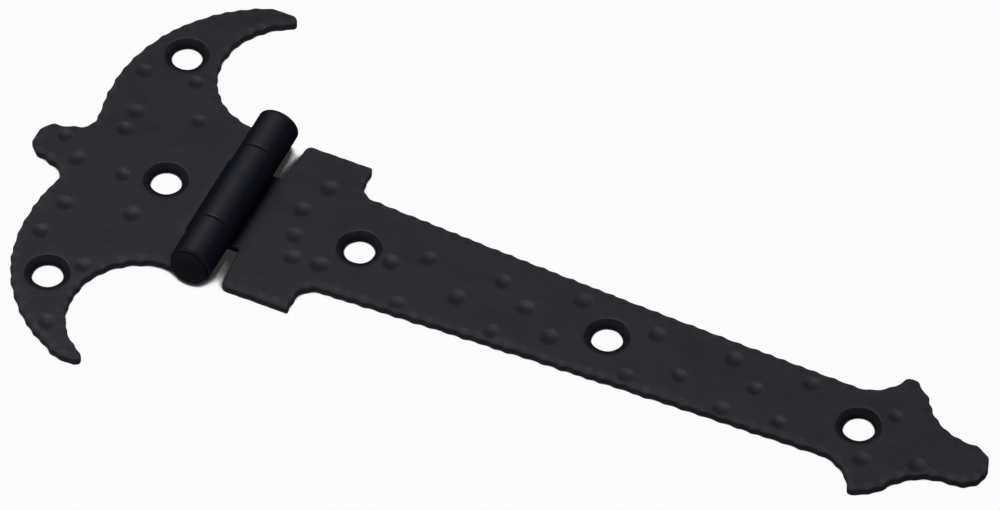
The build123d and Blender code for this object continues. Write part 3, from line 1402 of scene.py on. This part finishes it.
@dataclass(frozen=True)
class Studio:
    """The white ground, the lamp, the room's light and the camera.

    The camera's values, up to the sensor, are in degrees and millimetres, the others in metres and
    watts.
    """

    azimuth: float = -24.78
    elevation: float = 50.0
    distance: float = 1400.0
    pixels_per_mm: float = 6.49
    centre: tuple = (40.80, -7.01)
    picture_width: int = 1000
    sensor: float = 36.0
    room_colour: tuple = (0.93, 0.96, 1, 1)
    room_light: float = 0.15
    lamp_aim: tuple = (0.045, 0, 0)
    lamp_direction: tuple = (-0.26, -0.12, 0.955)
    lamp_distance: float = 1.2
    lamp_size: tuple = (1.25, 0.85)
    lamp_power: float = 9.6
    ground_half: float = 3.0
    ground_colour: tuple = (0.78, 0.78, 0.79, 1)
    backdrop_height: float = -0.16
    backdrop_white: float = 0.975
    backdrop_gloss: float = 0.15
    floor_height: float = -0.00006
    floor_seen: float = 0.99
    shade_reach: float = 0.009
    shade_range: tuple = (0.41, 0.51)
    shade_floor: float = 0.03
    gloss_range: tuple = (0.03, 0.15)
    gloss_levels: tuple = (0.5, 0.05)

    def axes(self) -> tuple:
        """Work out the camera's directions from its two angles.

        Forward runs down by the elevation and is turned from +Y by the azimuth, right is level and
        square to it, and up is square to both.

        Returns:
            The right, up and forward directions.
        """
        turn, tilt = math.radians(self.azimuth), math.radians(self.elevation)
        right = Vector((math.cos(turn), -math.sin(turn), 0))
        forward = Vector(
            (math.sin(turn) * math.cos(tilt), math.cos(turn) * math.cos(tilt), -math.sin(tilt))
        )
        return right, right.cross(forward), forward

    def camera(self) -> None:
        """Set up the camera: its lens gives the wanted pixels to a millimetre at its distance."""
        right, up, forward = self.axes()
        data = bpy.data.cameras.new("camera")
        data.sensor_fit = "HORIZONTAL"
        data.sensor_width = self.sensor
        data.lens = self.pixels_per_mm * self.distance * self.sensor / self.picture_width
        data.clip_end = 20
        place = (right * self.centre[0] + up * self.centre[1] - forward * self.distance) * MM
        camera = put("camera", data)
        turned = Matrix((right, up, -forward)).transposed().to_4x4()
        camera.matrix_world = Matrix.Translation(place) @ turned
        bpy.context.scene.camera = camera

    def lamp(self) -> None:
        """Hang one large soft lamp over the hinge."""
        data = bpy.data.lights.new("overhead", "AREA")
        data.shape = "RECTANGLE"
        data.size, data.size_y = self.lamp_size
        data.energy = self.lamp_power
        aim = Vector(self.lamp_direction).normalized()
        lamp = put("overhead", data)
        lamp.location = Vector(self.lamp_aim) + aim * self.lamp_distance
        lamp.rotation_euler = aim.to_track_quat("Z", "Y").to_euler()

    def room(self) -> None:
        """Fill the room with a weak even light."""
        world = bpy.data.worlds.new("room")
        world.use_nodes = True
        nodes = Nodes(world.node_tree)
        values = {"Color": self.room_colour, "Strength": self.room_light}
        glow = nodes.add("ShaderNodeBackground", values)
        nodes.finish(glow.outputs[0], "ShaderNodeOutputWorld")
        bpy.context.scene.world = world

    def plane(self, name: str, height: float) -> tuple:
        """Lay a wide level plane that isn't part of the hinge.

        Args:
            name: the plane's name.
            height: its height, in metres.

        Returns:
            The Nodes of its material, its Light Path node's outputs, a matt shader's socket, and
            the socket that is 1 where the plane is seen straight, in gloss or through glass.
        """
        half = self.ground_half
        mesh = bpy.data.meshes.new(name)
        corners = [(-half, -half), (half, -half), (half, half), (-half, half)]
        mesh.from_pydata([(x, y, height) for x, y in corners], [], [(0, 1, 2, 3)])
        made = bpy.data.materials.new(f"pale_{name}")
        made.use_nodes = True
        mesh.materials.append(made)
        put(name, mesh)
        nodes = Nodes(made.node_tree)
        rays = nodes.add("ShaderNodeLightPath").outputs
        mirrored = nodes.math("MAXIMUM", rays["Is Glossy Ray"], rays["Is Transmission Ray"])
        seen = nodes.math("MAXIMUM", rays["Is Camera Ray"], mirrored)
        matt = nodes.add("ShaderNodeBsdfDiffuse", {"Color": self.ground_colour})
        return nodes, rays, matt.outputs[0], seen

    def backdrop(self) -> None:
        """Lay the white backdrop, deep enough for the strap to fold down above it.

        In gloss it is dim, because the black paint would show too much of it.
        """
        nodes, rays, matt, seen = self.plane("backdrop", self.backdrop_height)
        glow = nodes.add("ShaderNodeEmission", {"Color": (1, 1, 1, 1)})
        white = nodes.math("MULTIPLY", rays["Is Camera Ray"], self.backdrop_white)
        level = nodes.math("MAXIMUM", white, self.backdrop_gloss)
        nodes.join(level, glow.inputs["Strength"])
        nodes.finish(nodes.blend(seen, matt, glow.outputs[0]))

    def floor(self) -> None:
        """Lay a pale floor just under the hinge.

        To the camera it is clear where nothing shades it, so that the white backdrop shows, and
        also a leaf that folds down past the floor. Where the hinge stands close over it, it
        darkens. In gloss it is pale near the hinge and fades with the distance from it. Bounced
        light finds a matt floor, and the lamp's own light goes through.
        """
        nodes, rays, matt, seen = self.plane("floor", self.floor_height)
        clear = nodes.add("ShaderNodeBsdfTransparent").outputs[0]

        open_sky = nodes.add(
            "ShaderNodeAmbientOcclusion", {"Distance": self.shade_reach}, samples=32
        )
        low, high = self.shade_range
        shade = nodes.add(
            "ShaderNodeMapRange",
            {"From Min": low, "From Max": high, "To Min": self.shade_floor},
            interpolation_type="SMOOTHSTEP",
        )
        nodes.join(open_sky.outputs["AO"], shade.inputs["Value"])
        shaded = nodes.add("ShaderNodeBsdfTransparent")
        nodes.join(shade.outputs["Result"], shaded.inputs["Color"])

        away = nodes.add("ShaderNodeVectorMath", operation="LENGTH")
        nodes.join(nodes.add("ShaderNodeTexCoord").outputs["Object"], away.inputs[0])
        ranges = (*self.gloss_range, *self.gloss_levels)
        names = ("From Min", "From Max", "To Min", "To Max")
        near = nodes.add("ShaderNodeMapRange", dict(zip(names, ranges)))
        nodes.join(away.outputs["Value"], near.inputs["Value"])
        level = nodes.math("MULTIPLY", shade.outputs["Result"], near.outputs["Result"])
        glow = nodes.add("ShaderNodeEmission", {"Color": (1, 1, 1, 1)})
        nodes.join(level, glow.inputs["Strength"])

        pale = nodes.blend(rays["Is Camera Ray"], glow.outputs[0], shaded.outputs[0])
        body = nodes.blend(nodes.math("MULTIPLY", seen, self.floor_seen), matt, pale)
        nodes.finish(nodes.blend(rays["Is Shadow Ray"], body, clear))

    def set_up(self) -> None:
        """Lay the ground, hang the lamp, light the room and place the camera."""
        self.floor()
        self.backdrop()
        self.room()
        self.lamp()
        self.camera()
        bpy.context.scene.view_settings.view_transform = "Standard"


# ---------------------------------------------------------------- the hinge

# Where the hammer marks lie, as shares of the reach and the half height of each part of a leaf.
CRESCENT_MARKS = (
    (0.445, 0.333), (0.585, 0.513), (0.795, 0.273), (0.795, 0.173),
    (0.885, 0.483), (0.655, -0.047), (0.935, -0.047), (1.075, 0.043),
    (0.855, -0.277), (0.885, -0.447), (0.485, -0.217), (0.565, -0.537),
    (0.565, -0.857),
)
BLOCK_MARKS = (
    (0.730, 0.580), (0.610, 0.220), (0.680, -0.120), (0.780, -0.380),
    (1.050, -0.350),
)
STRAP_MARKS = (
    (0.213, -0.050), (0.253, 0.270), (0.247, -0.770), (0.310, -0.270),
    (0.351, 0.330), (0.392, -0.010), (0.370, -0.670), (0.438, -0.390),
    (0.452, 0.500), (0.546, -0.600), (0.555, 0.360), (0.606, -0.250),
    (0.655, 0.410), (0.672, -0.590), (0.697, 0.000), (0.743, -0.460),
    (0.755, 0.460), (0.868, 0.410), (0.856, -0.590), (0.921, -0.350),
)


def spread(shares: tuple, reach: float, half: float) -> tuple:
    """Turn pairs of shares, of a reach and of a half height, into places."""
    return tuple((across * reach, up * half) for across, up in shares)


def make_crescent(barrel: Barrel) -> CrescentLeaf:
    """Describe the crescent leaf, kept within the solid's box."""
    return CrescentLeaf(
        name="crescent_skin",
        body="frame_side",
        node="crescent_leaf",
        slot="leaf_paint",
        barrel=barrel,
        lie=Lie.FRAME,
        holes=[ScrewHole(-20.1, 24.3), ScrewHole(-20.1, -24.3), ScrewHole(-11.8, 0)],
        marks=HammerMarks(places=spread(CRESCENT_MARKS, -28.0, 38.7), seed=3),
        rim=BeatenRim(seed=21),
        limit=((-34.2, -38.2), (22, 38.8)),
    )


def make_strap(barrel: Barrel) -> StrapLeaf:
    """Describe the strap leaf, kept within the solid's box."""
    places = spread(BLOCK_MARKS, 16.2, 15.5) + spread(STRAP_MARKS, 125.5, 9.7)
    return StrapLeaf(
        name="strap_skin",
        body="door_side",
        node="strap_leaf",
        slot="leaf_paint",
        barrel=barrel,
        lie=Lie.DOOR,
        holes=[ScrewHole(21.2, 0), ScrewHole(62.9, 0), ScrewHole(104.6, 0)],
        marks=HammerMarks(places=places, seed=4),
        rim=BeatenRim(seed=22),
        limit=((-22, -15.5), (125.5, 15.5)),
    )


def make_pin(barrel: Barrel) -> HingePin:
    """Describe the pin, which turns with the outer knuckles."""
    return HingePin("pin_skin", "frame_side", "hinge_pin", "pin_paint", barrel)


def main() -> None:
    """Build the hinge on its frame, light it and report each piece."""
    logging.basicConfig(level=logging.INFO, format="%(name)s: %(message)s")
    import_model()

    barrel = Barrel()
    effects = PaintEffects()
    leaf_paints = [paint.material(effects) for paint in (FACE_PAINT, LIT_CUT_EDGE_PAINT, SHADED_SINK_PAINT)]
    make_crescent(barrel).dress(leaf_paints)
    make_strap(barrel).dress(leaf_paints)
    make_pin(barrel).dress([PIN_PAINT.material(effects)])

    Studio().set_up()


if __name__ == "__main__":
    main()
